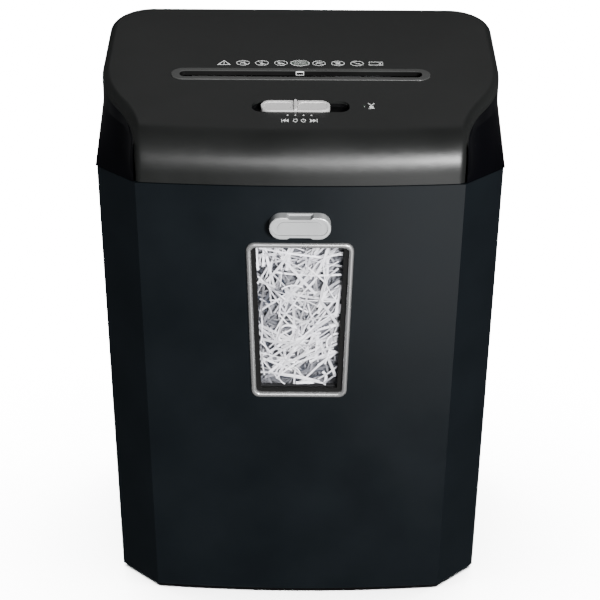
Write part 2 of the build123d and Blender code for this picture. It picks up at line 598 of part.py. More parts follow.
def make_gears():
    sync_bore = rod(JOURNAL_RADIUS + 0.01, -200, 0, "X", FRONT_SHAFT)
    keep("front_sync_gear", gear(SYNC_MODULE, SYNC_TEETH, 0.0, FRONT_SHAFT, *SYNC_X) - sync_bore)
    rear_bore = rod(JOURNAL_RADIUS + 0.01, -200, 200, "X", REAR_SHAFT)
    phase = mesh_phase(SYNC_TEETH, 180.0)
    keep("rear_sync_gear", gear(SYNC_MODULE, SYNC_TEETH, phase, REAR_SHAFT, *SYNC_X) - rear_bore)
    final = gear(FINAL_MODULE, FINAL_TEETH, IDLER_ANGLE, REAR_SHAFT, *FINAL_X) - rear_bore
    keep("final_drive_gear", final)

    phase = mesh_phase(PINION_TEETH, IDLER_ANGLE + 180)
    pinion = gear(FINAL_MODULE, PINION_TEETH, phase, IDLER, FINAL_X[0], WHEEL_X[0])
    wheel = gear(FIRST_MODULE, WHEEL_TEETH, MOTOR_ANGLE, IDLER, *WHEEL_X)
    keep("idler_gear", pinion + wheel - rod(SPINDLE_RADIUS + RUNNING_GAP, 0, 200, "X", IDLER))
    keep("idler_spindle", rod(SPINDLE_RADIUS, PLATE_X, GEAR_PLATE_X[1], "X", IDLER))

    phase = mesh_phase(MOTOR_TEETH, MOTOR_ANGLE + 180)
    teeth = gear(FIRST_MODULE, MOTOR_TEETH, phase, MOTOR, WHEEL_X[0] - 1, WHEEL_X[1] + 1)
    shaft = rod(MOTOR_SHAFT_RADIUS, MOTOR_X[0] - 14, WHEEL_X[0] - 1, "X", MOTOR)
    keep("motor_rotor_shaft", shaft + teeth)


def make_motor():
    left, right = MOTOR_X
    core_start, core_end = left + 22, right - 20
    keep("motor_stator", rod(MOTOR_RADIUS, core_start, core_end, "X", MOTOR) - rod(21, 0, 200, "X", MOTOR))
    bells = []
    for outer, inner in ((left, core_start), (right, core_end)):
        inwards = 1 if inner > outer else -1
        floor = outer + 2 * inwards
        bell = rod(MOTOR_RADIUS - 1, *sorted((outer, inner)), "X", MOTOR)
        bell -= rod(MOTOR_RADIUS - 1 - BELL_WALL, *sorted((floor, inner)), "X", MOTOR)
        bell += rod(9, *sorted((floor - 0.1 * inwards, floor + 8 * inwards)), "X", MOTOR)
        bells.append(bell - rod(MOTOR_SHAFT_RADIUS + RUNNING_GAP, 0, 200, "X", MOTOR))
    keep("motor_end_bells", *bells)
    hub = rod(7, left - 13, left - 4, "X", MOTOR) - rod(MOTOR_SHAFT_RADIUS + 0.01, -100, 100, "X", MOTOR)
    blade = box((left - 13, left - 4), (-0.8, 0.8), (6.4, 25))
    for n in range(FAN_BLADES):
        hub += Pos(0, *MOTOR) * Rot(360 * n / FAN_BLADES, 0, 0) * blade
    keep("motor_fan", hub)


def make_frame():
    low, high = LEDGE_TOP_Z + CHASSIS_FLOOR, PLATE_TOP_Z
    seat = JOURNAL_RADIUS + 4.0
    for name, side in (("left", -1), ("right", 1)):
        x = sorted((side * PLATE_X, side * PLATE_FACE))
        back = 34.0 if side < 0 else 124.0
        plate = box(x, (-52, back), (low, high))
        if side < 0:
            plate += box((x[0] - 11, x[1]), (-52, back), (low, low + 2.5))
        for at in (FRONT_SHAFT, REAR_SHAFT):
            plate -= rod(seat, x[0] - 1, x[1] + 1, "X", at)
        if side > 0:
            plate -= rod(10, x[0] - 1, x[1] + 1, "X", MOTOR)
            plate -= rod(SPINDLE_RADIUS, x[0] - 1, x[1] + 1, "X", IDLER)
        for at in TIE_BARS:
            plate -= rod(2.05, x[0] - 1, x[1] + 1, "X", at)
        keep(f"{name}_end_plate", plate)

    bushes = []
    for side in (-1, 1):
        for at in (FRONT_SHAFT, REAR_SHAFT):
            x = sorted((side * PLATE_X, side * PLATE_FACE))
            flange = sorted((side * PLATE_FACE, side * (PLATE_FACE + 1.4)))
            bush = rod(seat, *x, "X", at) + rod(seat + 2, *flange, "X", at)
            bushes.append(bush - rod(JOURNAL_RADIUS + RUNNING_GAP, x[0] - 5, x[1] + 5, "X", at))
    keep("shaft_bushes", *bushes)

    bars = []
    for at in TIE_BARS:
        bar = rod(3.6, -PLATE_X, PLATE_X, "X", at)
        bars.append(bar + rod(2.0, -PLATE_FACE - 2, PLATE_FACE + 2, "X", at))
        for side in (-1, 1):
            x = sorted((side * PLATE_FACE, side * (PLATE_FACE + 2.0)))
            bars[-1] += prism_x(moved(regular(4.0, 6), at), *x)
    keep("frame_tie_bars", *bars)


def make_combs():
    """Stripper combs: a bar with a finger in each gap between discs, hollowed round the spacers."""
    rows = (("front", FRONT_SHAFT, -1, FRONT_OFFSET), ("rear", REAR_SHAFT, 1, REAR_OFFSET))
    for name, at, side, offset in rows:
        bar_y = sorted((at[0] + side * 20.4, at[0] + side * 23.0))
        comb = box((-PLATE_X + 0.2, PLATE_X - 0.2), bar_y, (466, 490))
        for i in range(DISC_COUNT):
            start = disc_start(i, offset) + DISC_WIDTH + 0.5
            end = start + SPACER_WIDTH - 1.0
            if end > PLATE_X - 1:
                continue
            finger_y = sorted((at[0] + side * 5.0, at[0] + side * 20.5))
            comb += box((start, end), finger_y, (468, 488))
        comb -= rod(SPACER_RADIUS + 0.6, -PLATE_X, PLATE_X, "X", at)
        keep(f"{name}_stripper_comb", *comb.solids())


def make_gear_plate():
    outline_points = [(-36, 446), (114, 446), (114, 500), (76, 522), (40, 517), (-36, 502)]
    plate = prism_x(outline_points, *GEAR_PLATE_X)
    plate -= rod(JOURNAL_RADIUS + RUNNING_GAP, 0, 200, "X", REAR_SHAFT)
    plate -= rod(SPINDLE_RADIUS, 0, 200, "X", IDLER)
    plate -= rod(9, 0, 200, "X", MOTOR)
    pillars = []
    for at in PILLARS:
        pillar = rod(1.7, GEAR_PLATE_X[0] - 0.5, GEAR_PLATE_X[1] + 2, "X", at)
        pillar += rod(3.4, PLATE_FACE, GEAR_PLATE_X[0], "X", at)
        plate -= rod(1.75, 0, 200, "X", at)
        pillars.append(pillar)
    keep("gear_plate", plate)
    keep("gear_plate_pillars", *pillars)


# ---------------------------------------------------------------- electrics
def make_electrics():
    floor = LEDGE_TOP_Z + CHASSIS_FLOOR
    corners = [(x, y) for x in (BOARD_X[0] + 5, BOARD_X[1] - 5) for y in (BOARD_Y[0] + 5, BOARD_Y[1] - 5)]
    board = box(BOARD_X, BOARD_Y, (BOARD_Z, BOARD_Z + 1.6))
    for at in corners:
        board -= rod(1.6, 440, 460, "Z", at)
    keep("control_board", board)
    pins = [rod(1.5, BOARD_Z - 0.5, BOARD_Z + 3, "Z", at) for at in corners]
    posts = [rod(3.2, floor, BOARD_Z, "Z", at) + pin for at, pin in zip(corners, pins)]
    keep("board_standoffs", *posts)

    top = BOARD_Z + 1.6
    relays = [box((-168, -152), (18 + 16 * n, 31 + 16 * n), (top, top + 15)) for n in range(2)]
    transformer = box((-172, -144), (52, 76), (top, top + 6))
    transformer += box((-166, -150), (54, 74), (top + 6, top + 22))
    terminals = box((-146, -140), (18, 46), (top, top + 9))
    for n in range(4):
        terminals -= rod(1.8, top + 3, top + 12, "Z", (-143, 22 + 6.6 * n))
    keep("board_components", *relays, transformer, terminals)
    can = rod(16, -110, -50, "X", (100, floor + 17))
    for y in (94, 106):
        can += rod(2, -50.1, -44, "X", (y, floor + 17))
    keep("motor_capacitor", can)

    x, y = INTERLOCK_AT
    case = box((x - 10, x + 10), (y - 5, y + 5), (floor, floor + 14))
    case -= rod(PLUNGER_RADIUS + 0.3, floor - 3, floor + 7, "Z", INTERLOCK_AT)
    keep("interlock_switch_body", case)
    plunger = rod(PLUNGER_RADIUS, PLUNGER_LOW, floor + 4, "Z", INTERLOCK_AT)
    keep("interlock_plunger", fillet(plunger.edges().group_by(Axis.Z)[0], 1.5))


# ---------------------------------------------------------------- bin
def window_face(inset, side_inset=0.0, top_inset=0.0, foot_inset=0.0, corner=WINDOW_CORNER):
    """The window's trapezium, drawn in the (X, Z) plane of the bin's front, with its corners rounded."""
    middle = (WINDOW_TOP_Z + WINDOW_FOOT_Z) / 2
    top = WINDOW_TOP_Z - middle - inset - top_inset
    foot = WINDOW_FOOT_Z - middle + inset + foot_inset
    top_half = WINDOW_TOP_HALF - inset - side_inset
    foot_half = WINDOW_FOOT_HALF - inset - side_inset
    corners = ((-foot_half, foot), (foot_half, foot), (top_half, top), (-top_half, top))
    shape = make_face(Polyline(*corners, close=True))
    return fillet(shape.vertices(), corner)


def bucket_opening():
    """The hole in the bucket's wall behind the window."""
    return window_face(FRAME_WIDTH, 4.4, 0.8, 4.0, corner=1.5)


def window_slab(face, low, high):
    """A window outline as a plate between two depths, measured outwards from the bin's front face."""
    middle = (WINDOW_TOP_Z + WINDOW_FOOT_Z) / 2
    return extrude(on_front(0, middle, low) * face, high - low)


def make_bin_front():
    shell = cabinet_shell() & box(ALL_X, (-200, PART_Y - PART_GAP), ALL_Z)
    panel = largest(shell) - window_slab(window_face(-0.15), -12, 12)
    for x, z in BIN_SCREWS:
        end = wall_inner_y(x, z) - BUCKET_WALL - 0.4
        panel += rod(4.5, end - BUCKET_GAP + CABINET_WALL, end, "Y", (x, z))
        panel -= rod(1.8, end - 4.6, end + 1, "Y", (x, z))
    for x in KNOB_SCREWS:
        panel -= rod(2.0, -200, 0, "Y", (x, KNOB_Z))
    keep("bin_front_panel", panel)


def make_bucket():
    low, top, inner = BUCKET_FLOOR_Z, BUCKET_TOP_Z, BUCKET_GAP + BUCKET_WALL
    bucket = body_block(low, top, BUCKET_GAP, BUCKET_BACK)
    bucket -= body_block(low + BUCKET_WALL, top + 1, inner, BUCKET_BACK - BUCKET_WALL)
    bucket -= window_slab(bucket_opening(), -30, 5)
    screws = []
    for x, z in BIN_SCREWS:
        bucket -= rod(1.9, -200, 0, "Y", (x, z))
        screws.append(Pos(x, wall_inner_y(x, z) + 0.35, z) * Rot(-90, 0, 0) * screw(3.4, 1.75, 6.0))
    x, y = INTERLOCK_AT
    bucket += box((x - 10.4, x + 4), (y - 2, y + 2), (top - 8, PLUNGER_LOW - 0.3))
    keep("bin_bucket", bucket)
    keep("bin_panel_screws", *screws)
    keep("bin_glides", *[box((x - 6, x + 6), (-90, 90), (FOOT_Z + 2.5, low)) for x in (-120, 120)])


def make_window():
    frame = window_slab(window_face(0), -5.0, FRAME_FRONT)
    frame -= window_slab(window_face(FRAME_WIDTH, corner=4.5), -10, 10)
    front = on_front(0, (WINDOW_TOP_Z + WINDOW_FOOT_Z) / 2, FRAME_FRONT)
    rims = [edge for edge in frame.edges() if abs(front.to_local_coords(edge.center()).Z) < 0.01]
    keep("window_frame", fillet(rims, FRAME_ROUND))
    gasket = window_slab(window_face(FRAME_WIDTH + 0.05, corner=4.4), LENS_FRONT, GASKET_FRONT)
    keep("window_gasket", gasket - window_slab(bucket_opening(), -10, 10))
    keep("window_lens", window_slab(window_face(FRAME_WIDTH + 0.4, corner=4.2), LENS_BACK, LENS_FRONT))


def make_shreds():
    """The heap of cut strips as a thin shell, with a bulge that presses up to the window."""
    inset, back = BUCKET_GAP + BUCKET_WALL + 0.6, BUCKET_BACK - BUCKET_WALL - 0.6
    low, skin = BUCKET_FLOOR_Z + BUCKET_WALL + 0.2, SHREDS_SKIN
    heap = body_block(low, SHREDS_TOP_Z, inset, back)
    heap -= body_block(low - 1, SHREDS_TOP_Z - skin, inset + skin, back - skin)
    heap += window_slab(window_face(FRAME_WIDTH, 4.9, 1.4, 4.5, corner=2.0), -14, LENS_BACK - 0.4)
    for x, z in BIN_SCREWS:
        heap -= rod(5, wall_inner_y(x, z) - 1, wall_inner_y(x, z) + 4, "Y", (x, z))
    keep("shredded_paper", largest(heap))


def wall_inner_y(x, z):
    """Where the bucket's front wall has its inner face, allowing for the bow."""
    plan = shrink(plan_at(z), BUCKET_GAP + BUCKET_WALL)
    radius = (plan["fore"] ** 2 + plan["bow"] ** 2) / (2 * plan["bow"])
    return -plan["front"] + radius - sqrt(radius**2 - x**2)


def make_knob():
    face_y = -plan_at(KNOB_Z)["front"] - 0.25
    plane = Plane(origin=(0, face_y, KNOB_Z), x_dir=(1, 0, 0), z_dir=(0, -1, 0))
    depth = face_y + REACH
    body = extrude(plane * stadium(KNOB_LENGTH, KNOB_HEIGHT, 20), depth)
    body = fillet(body.edges().group_by(Axis.Y)[0], 1.2)
    for side in (-1, 1):
        high, low = side * (KNOB_HEIGHT / 2 + 1), side * (KNOB_HEIGHT / 2 - 1.9)
        cut = make_face(Polyline((-13.5, high), (-9.5, low), (9.5, low), (13.5, high), close=True))
        body -= extrude(plane * Pos(0, 0, 2.2) * cut, 20)
    dish = extrude(plane * Pos(0, 0, depth - 1.5) * stadium(KNOB_LENGTH - 5.6, KNOB_HEIGHT - 8.0, 20), 4)
    pad = extrude(plane * Pos(0, 0, depth - 1.6) * stadium(40.0, KNOB_HEIGHT - 9.6, 5.4), 1.0)
    body = body - dish + pad
    for x in KNOB_SCREWS:
        body -= rod(1.7, face_y - 7, face_y + 1, "Y", (x, KNOB_Z))
    keep("pull_knob", largest(body))
    place = Pos(0, face_y + CABINET_WALL + 0.8, KNOB_Z) * Rot(-90, 0, 0)
    keep("knob_screws", *[Pos(x, 0, 0) * place * screw(3.2, 1.65, 9.0, 1.8) for x in KNOB_SCREWS])


# ---------------------------------------------------------------- build
def main():
    make_cabinet()
    foot_screws = make_feet()
    make_cover()
    make_side_panels()
    make_grommet()
    cover_screws = make_chassis()
    keep("case_screws", *foot_screws, *cover_screws)
    make_slot()
    make_sensor()
    make_selector()
    make_cutters()
    make_gears()
    make_motor()
    make_frame()
    make_combs()
    make_gear_plate()
    make_electrics()
    make_bin_front()
    make_bucket()
    make_window()
    make_shreds()
    make_knob()
    os.makedirs("parts", exist_ok=True)
    for name, shape in parts.items():
        export_step(shape, f"parts/{name}.step")
    print(len(parts), "nodes")


main()
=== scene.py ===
"""Looks of the paper shredder: materials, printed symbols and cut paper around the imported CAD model.

Metres, +Z up, -Y the front.
"""

import json
import math
import random

import bmesh
import bpy
from mathutils import Matrix, Vector, noise


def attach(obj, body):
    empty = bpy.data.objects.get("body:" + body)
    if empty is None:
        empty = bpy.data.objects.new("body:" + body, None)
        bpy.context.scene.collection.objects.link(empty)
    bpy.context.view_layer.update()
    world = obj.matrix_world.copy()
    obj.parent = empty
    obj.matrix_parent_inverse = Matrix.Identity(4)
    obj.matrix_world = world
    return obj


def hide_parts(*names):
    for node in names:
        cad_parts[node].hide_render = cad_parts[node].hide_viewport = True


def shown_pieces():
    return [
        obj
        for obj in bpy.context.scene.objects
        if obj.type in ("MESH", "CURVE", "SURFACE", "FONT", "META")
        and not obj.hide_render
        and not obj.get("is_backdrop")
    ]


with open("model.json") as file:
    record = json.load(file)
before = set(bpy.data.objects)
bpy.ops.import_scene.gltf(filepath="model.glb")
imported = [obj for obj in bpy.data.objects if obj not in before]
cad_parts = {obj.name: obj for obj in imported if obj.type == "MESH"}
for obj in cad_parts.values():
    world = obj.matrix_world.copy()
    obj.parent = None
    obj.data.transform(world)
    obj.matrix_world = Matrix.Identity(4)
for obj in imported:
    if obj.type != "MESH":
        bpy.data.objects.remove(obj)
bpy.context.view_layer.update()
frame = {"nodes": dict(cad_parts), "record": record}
nodes = frame["nodes"]
rng = random.Random(7)

# ---------------------------------------------------------------- camera, as the object is seen
CAMERA_AT = (-0.0030, -1.5150, 1.0780)
PITCH, YAW, ROLL = 28.0, 0.14, 0.38  # degrees
LENS_MM, SENSOR_MM = 100.98, 36.0


def make_camera():
    data = bpy.data.cameras.new("camera")
    data.sensor_width = SENSOR_MM
    data.lens = LENS_MM
    data.clip_start, data.clip_end = 0.05, 50.0
    camera = bpy.data.objects.new("camera", data)
    pitch, yaw = math.radians(PITCH), math.radians(YAW)
    forward = Vector((math.sin(yaw) * math.cos(pitch), math.cos(yaw) * math.cos(pitch), -math.sin(pitch)))
    turn = forward.to_track_quat("-Z", "Y").to_matrix().to_4x4() @ Matrix.Rotation(math.radians(ROLL), 4, "Z")
    camera.matrix_world = Matrix.Translation(CAMERA_AT) @ turn
    bpy.context.scene.collection.objects.link(camera)
    bpy.context.scene.camera = camera


make_camera()

# ---------------------------------------------------------------- CAD dimensions the looks follow
MM = 0.001
TILT = math.radians(8.0)  # the cover's slope, down to the front
SLOPE = math.tan(TILT)
COVER_Z = 0.5191  # the cover's height at Y = 0
WINDOW_TOP_Z, WINDOW_FOOT_Z = 0.402, 0.2365
FOOT_Z = 0.004
# The bin's front face leans: half depths at its foot and its top, and the height between them
FRONT_FOOT_Y, FRONT_TOP_Y, FRONT_HEIGHT = 0.1264, 0.1342, 0.4546
BUCKET_INSIDE = 0.0108  # from the bin's front to the inside of the bucket's wall


def cover_height(y):
    """The cover's height at a Y."""
    return COVER_Z + y * SLOPE


# ---------------------------------------------------------------- materials
def new_material(name):
    """An empty material with one Principled shader."""
    material = bpy.data.materials.new(name)
    material.use_nodes = True
    tree = material.node_tree
    tree.nodes.clear()
    out = tree.nodes.new("ShaderNodeOutputMaterial")
    shader = tree.nodes.new("ShaderNodeBsdfPrincipled")
    tree.links.new(shader.outputs[0], out.inputs[0])
    return material, tree, shader


def add_noise(tree, scale, detail=3.0, stretch=(1, 1, 1)):
    where = tree.nodes.new("ShaderNodeTexCoord")
    mapping = tree.nodes.new("ShaderNodeMapping")
    mapping.inputs["Scale"].default_value = stretch
    texture = tree.nodes.new("ShaderNodeTexNoise")
    texture.inputs["Scale"].default_value = scale
    texture.inputs["Detail"].default_value = detail
    tree.links.new(where.outputs["Object"], mapping.inputs[0])
    tree.links.new(mapping.outputs[0], texture.inputs["Vector"])
    return texture.outputs[0]


def add_range(tree, source, low, high, start=0.3, end=0.7):
    """Maps start..end of a source, by default a noise's usual range, to low..high."""
    node = tree.nodes.new("ShaderNodeMapRange")
    node.inputs["From Min"].default_value = start
    node.inputs["From Max"].default_value = end
    node.inputs["To Min"].default_value = low
    node.inputs["To Max"].default_value = high
    tree.links.new(source, node.inputs[0])
    return node.outputs[0]


def add_mix(tree, factor, first, second):
    """A mix of two colours, each a tuple or another node's output."""
    node = tree.nodes.new("ShaderNodeMix")
    node.data_type = "RGBA"
    for socket, color in (("A", first), ("B", second)):
        if isinstance(color, tuple):
            node.inputs[socket].default_value = (*color, 1)
        else:
            tree.links.new(color, node.inputs[socket])
    tree.links.new(factor, node.inputs["Factor"])
    return node.outputs["Result"]


def add_bump(tree, shader, height, strength, distance):
    node = tree.nodes.new("ShaderNodeBump")
    node.inputs["Strength"].default_value = strength
    node.inputs["Distance"].default_value = distance
    tree.links.new(height, node.inputs["Height"])
    tree.links.new(node.outputs[0], shader.inputs["Normal"])


def surface(
    name,
    color,
    rough,
    grain=2600,
    bump=0.25,
    depth=0.12 * MM,
    metal=0.0,
    spread=0.12,
    stretch=(1, 1, 1),
    spec=0.5,
):
    """A moulded or metal surface: fine grain in the relief, and slow change in colour and sheen."""
    material, tree, shader = new_material(name)
    slow = add_noise(tree, 14.0, 4.0)
    fine = add_noise(tree, grain, 2.0, stretch)
    dark = tuple(c * (1 - spread) for c in color)
    light = tuple(min(1, c * (1 + spread)) for c in color)
    tree.links.new(add_mix(tree, add_range(tree, slow, 0, 1), dark, light), shader.inputs["Base Color"])
    tree.links.new(add_range(tree, slow, rough * 0.88, min(1, rough * 1.14)), shader.inputs["Roughness"])
    shader.inputs["Metallic"].default_value = metal
    shader.inputs["Specular IOR Level"].default_value = spec
    add_bump(tree, shader, fine, bump, depth)
    return material


def clear_plastic():
    """The window: clear, with a gloss that grows toward its edges as seen and is the same on both faces."""
    material, tree, shader = new_material("clear_window")
    out = tree.nodes["Material Output"]
    clear = tree.nodes.new("ShaderNodeBsdfTransparent")
    clear.inputs[0].default_value = (0.965, 0.965, 0.97, 1)
    gloss = tree.nodes.new("ShaderNodeBsdfGlossy")
    gloss.inputs["Color"].default_value = (1, 1, 1, 1)
    edge = tree.nodes.new("ShaderNodeLayerWeight")
    edge.inputs["Blend"].default_value = 0.12
    gloss.inputs["Roughness"].default_value = 0.06
    mix = tree.nodes.new("ShaderNodeMixShader")
    tree.links.new(edge.outputs["Facing"], mix.inputs[0])
    tree.links.new(clear.outputs[0], mix.inputs[1])
    tree.links.new(gloss.outputs[0], mix.inputs[2])
    tree.links.new(mix.outputs[0], out.inputs[0])
    tree.nodes.remove(shader)
    return material


def paper_material():
    """Cut paper: the tone kept with each strip runs from painted shade, near black, at 0 to clean white at 1.
    """
    material, tree, shader = new_material("paper_white")
    fibres = add_noise(tree, 900.0, 3.0)
    slow = add_noise(tree, 60.0, 2.0)
    tone_and_shade = tree.nodes.new("ShaderNodeAttribute")
    tone_and_shade.attribute_name = "tone_and_shade"
    white = add_mix(tree, add_range(tree, slow, 0, 1), (0.90, 0.89, 0.94), (0.97, 0.96, 0.98))
    # Painted shade: tone 0 gives this near-black blue-grey, for strips lying deep in the heap.
    color = add_mix(tree, tone_and_shade.outputs["Fac"], (0.014, 0.018, 0.028), white)
    tree.links.new(color, shader.inputs["Base Color"])
    shader.inputs["Roughness"].default_value = 0.8
    shader.inputs["Specular IOR Level"].default_value = 0.2
    add_bump(tree, shader, fibres, 0.2, 0.0001)
    return material


def bezel():
    """The slot's rim: grey satin on its face, with painted shade, near black, down inside the throat."""
    material = surface("bezel_grey", (0.050, 0.051, 0.050), 0.42, bump=0.2, spec=0.35)
    tree = material.node_tree
    shader = tree.nodes["Principled BSDF"]
    color = shader.inputs["Base Color"].links[0].from_socket
    where = tree.nodes.new("ShaderNodeTexCoord")
    height = tree.nodes.new("ShaderNodeVectorMath")
    height.operation = "DOT_PRODUCT"
    height.inputs[1].default_value = (0.0, -SLOPE, 1.0)
    tree.links.new(where.outputs["Object"], height.inputs[0])
    # Painted shade: below the cover's plane the rim's grey turns near black.
    face = add_range(tree, height.outputs["Value"], 0, 1, COVER_Z - 0.0004, COVER_Z + 0.0004)
    tree.links.new(add_mix(tree, face, (0.002, 0.002, 0.002), color), shader.inputs["Base Color"])
    return material


# Plain finishes: colour, roughness, and what else differs from surface()'s defaults
PLAIN_FINISHES = {
    "cover_charcoal": ((0.0085, 0.0090, 0.0087), 0.38, dict(bump=0.3, spec=0.4)),
    "panel_gloss_black": (
        (0.0012, 0.0012, 0.0018),
        0.09,
        dict(grain=900, bump=0.03, depth=0.06 * MM, spec=0.25),
    ),
    "cabinet_black": ((0.0055, 0.0065, 0.0070), 0.42, dict(bump=0.3)),
    "bin_front_charcoal": ((0.0045, 0.0060, 0.0074), 0.32, dict(grain=1800, bump=0.12, spec=0.17)),
    "bucket_black": ((0.016, 0.016, 0.017), 0.5, {}),
    "inner_black": ((0.002, 0.002, 0.0022), 0.5, dict(spec=0.1)),
    "silver_plastic": ((0.60, 0.61, 0.615), 0.33, dict(metal=0.55, grain=4200, bump=0.10, spread=0.05)),
    "indicator_green": ((0.016, 0.024, 0.018), 0.2, dict(bump=0.05)),
    "rubber_black": ((0.0045, 0.0045, 0.0045), 0.75, dict(bump=0.4, spec=0.15)),
    "cutter_steel": ((0.50, 0.50, 0.49), 0.32, dict(metal=1.0, stretch=(1, 0.06, 0.06))),
    "spacer_steel": ((0.38, 0.38, 0.37), 0.42, dict(metal=1.0, stretch=(0.1, 1, 1))),
    "gear_steel": ((0.36, 0.35, 0.33), 0.45, dict(metal=1.0, grain=1500, bump=0.4)),
    "zinc_plate": ((0.60, 0.60, 0.56), 0.36, dict(metal=1.0, grain=700, bump=0.15, spread=0.18)),
    "bush_bronze": ((0.45, 0.30, 0.14), 0.4, dict(metal=1.0)),
    "stator_steel": ((0.08, 0.08, 0.085), 0.5, dict(metal=0.6, stretch=(8, 0.2, 0.2))),
    # Painted shade: the motor's end bells are near black instead of aluminium-bright, so that they look
    # shaded through the slot.
    "bell_aluminium": ((0.05, 0.05, 0.05), 0.6, dict(metal=0.6, grain=1200, bump=0.5)),
    "fan_black": ((0.012, 0.012, 0.012), 0.45, {}),
    "capacitor_white": ((0.62, 0.62, 0.60), 0.3, dict(bump=0.1)),
    "board_green": ((0.02, 0.11, 0.05), 0.35, dict(grain=900, bump=0.3)),
    "symbol_ink": ((0.80, 0.81, 0.80), 0.5, dict(bump=0.05, spread=0.05)),
    "symbol_badge": ((0.075, 0.095, 0.08), 0.45, dict(bump=0.05)),
    "component_dark": ((0.03, 0.03, 0.045), 0.5, {}),
}
FINISHES = {
    name: surface(name, color, rough, **more)
    for name, (color, rough, more) in PLAIN_FINISHES.items()
}
FINISHES.update(bezel_grey=bezel(), clear_window=clear_plastic(), paper_white=paper_material())
SLOTS = {part["node"]: part["material_slot"] for part in frame["record"]["subparts"]}


def split_edges(obj, degrees):
    """Keeps the edges sharper than an angle sharp."""
    split = obj.modifiers.new("edges", "EDGE_SPLIT")
    split.split_angle = math.radians(degrees)


def dress(obj, slot):
    """Gives an object its finish and smooth shading."""
    obj.data.materials.clear()
    obj.data.materials.append(FINISHES[slot])
    for face in obj.data.polygons:
        face.use_smooth = True


def smooth_cad(obj):
    """Joins the facets' shared corners and keeps only real edges sharp."""
    weld = obj.modifiers.new("weld", "WELD")
    weld.merge_threshold = 0.01 * MM
    split_edges(obj, 32)
    if obj.data.has_custom_normals:
        bpy.context.view_layer.objects.active = obj
        with bpy.context.temp_override(object=obj, active_object=obj, selected_objects=[obj]):
            bpy.ops.mesh.customdata_custom_splitnormals_clear()


for name, node in nodes.items():
    dress(node, SLOTS[name])
    smooth_cad(node)
# The slider is warmer than the pull knob, which has the same slot, and lighter, painted light for its upward
# face; the window's frame is more metallic than the knob
nodes["selector_knob"].data.materials[0] = surface(
    "selector_silver_painted_light", (0.78, 0.77, 0.76), 0.35, metal=0.35, grain=4200, bump=0.08, spread=0.04
)
nodes["window_frame"].data.materials[0] = surface(
    "frame_silver", (0.43, 0.43, 0.43), 0.27, metal=0.75, bump=0.02, spread=0.03
)
nodes["pull_knob"].visible_glossy = False  # or it leaves a white smudge on the bin's front


# ---------------------------------------------------------------- shapes made here
def add_mesh(name, verts, faces, slot, body, smooth=False, tones_and_shades=None):
    """A piece on a body, with a tone for each corner where it is paper; low tones are painted shade."""
    mesh = bpy.data.meshes.new(name)
    mesh.from_pydata([tuple(v) for v in verts], [], faces)
    mesh.update()
    if tones_and_shades:
        mesh.attributes.new("tone_and_shade", "FLOAT", "POINT").data.foreach_set("value", tones_and_shades)
    obj = bpy.data.objects.new(name, mesh)
    bpy.context.scene.collection.objects.link(obj)
    mesh.materials.append(FINISHES[slot])
    if smooth:
        for face in mesh.polygons:
            face.use_smooth = True
    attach(obj, body)
    return obj


# ---------------------------------------------------------------- cut paper
LEAN = math.atan2(FRONT_TOP_Y - FRONT_FOOT_Y, FRONT_HEIGHT)
WINDOW_MID = (WINDOW_TOP_Z + WINDOW_FOOT_Z) / 2
WINDOW_FRONT = -(FRONT_FOOT_Y + (WINDOW_MID - FOOT_Z) / FRONT_HEIGHT * (FRONT_TOP_Y - FRONT_FOOT_Y))
# The window's clear part: its foot and top from the window's middle, a height from there with the half
# width at it, and how fast the half width grows with height
CLEAR_FOOT, CLEAR_TOP = -0.0748, 0.0771
CLEAR_AT, CLEAR_HALF, CLEAR_FLARE = -0.0740, 0.0373, 0.0043 / 0.151
LENS_INSIDE = 0.0074  # from the bin's front to just inside the window
BEHIND = 0.008  # how far strips inside the bucket go on behind the opening's edges

PAPER_THICK = 0.00012
STRIP_STEP, LOOSE_STEP = 0.0034, 0.006
STRIP_WIDTHS, LOOSE_WIDTHS = (0.0010, 0.0014, 0.0018, 0.0026), (0.003, 0.004, 0.005)
# Layers of strips behind the window: count, nearest and furthest depth, darkest and lightest tone (dark tones
# painted shade)
WINDOW_LAYERS = (
    # The two deeper layers are painted shade; the front layer's tones differ at random, and its darker ones
    # are partly painted shade.
    (420, 0.0150, 0.0200, 0.00, 0.10),
    (260, 0.0109, 0.0150, 0.00, 0.22),
    (205, 0.0078, 0.0106, 0.25, 1.0),
)
HEAP_Z, HEAP_LOW_Z = 0.386, 0.02
HEAP_HALF, HEAP_FRONT, HEAP_BACK = 0.172, -0.104, 0.113
HEAP_CHAMFER = 0.258  # |X| - Y on the bucket's cut corners
HEAP_COLUMNS, HEAP_ROWS = 57, 39
# Painted shade: the heap's top under the loose strips is greyed and its sides are near black.
HEAP_SHADE_TONE, HEAP_SIDE_SHADE_TONE = 0.30, 0.02


def in_window(across, up, depth):
    """A point behind the window: along its face, up from its middle, and how far in from the bin's front."""
    y = WINDOW_FRONT - up * math.sin(LEAN) + depth * math.cos(LEAN)
    return Vector((across, y, WINDOW_MID + up * math.cos(LEAN) + depth * math.sin(LEAN)))


def window_half(up):
    """Half width of the clear part of the window at a height from its middle."""
    return CLEAR_HALF + (up - CLEAR_AT) * CLEAR_FLARE


